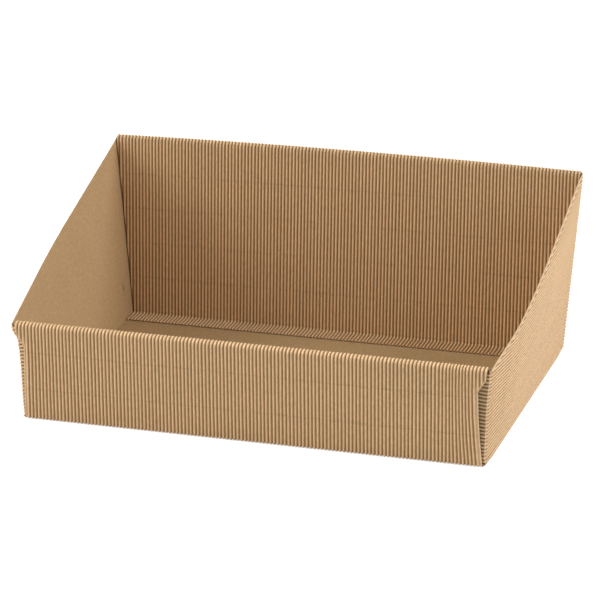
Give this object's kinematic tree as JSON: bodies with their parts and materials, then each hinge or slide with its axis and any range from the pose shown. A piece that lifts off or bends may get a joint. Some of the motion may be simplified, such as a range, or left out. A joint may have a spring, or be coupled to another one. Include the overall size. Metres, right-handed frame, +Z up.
{
  "type": "cardboard tray box",
  "caption": "Open display tray folded from one sheet of ribbed single-face card, with a low rolled front wall, sloping sides and a high rolled back wall.",
  "frame": {"origin": "on the standing plane under the middle of the base", "axes": "+X to the right along the long side, +Y from the low front wall to the high back wall, +Z up"},
  "size_m": [0.442, 0.297, 0.173],
  "materials": {
    "kraft_card": "matte natural kraft, smooth liner inside and rounded ribs outside"
  },
  "bodies": {
    "root": {"tray": "kraft_card"}
  },
  "joints": []
}
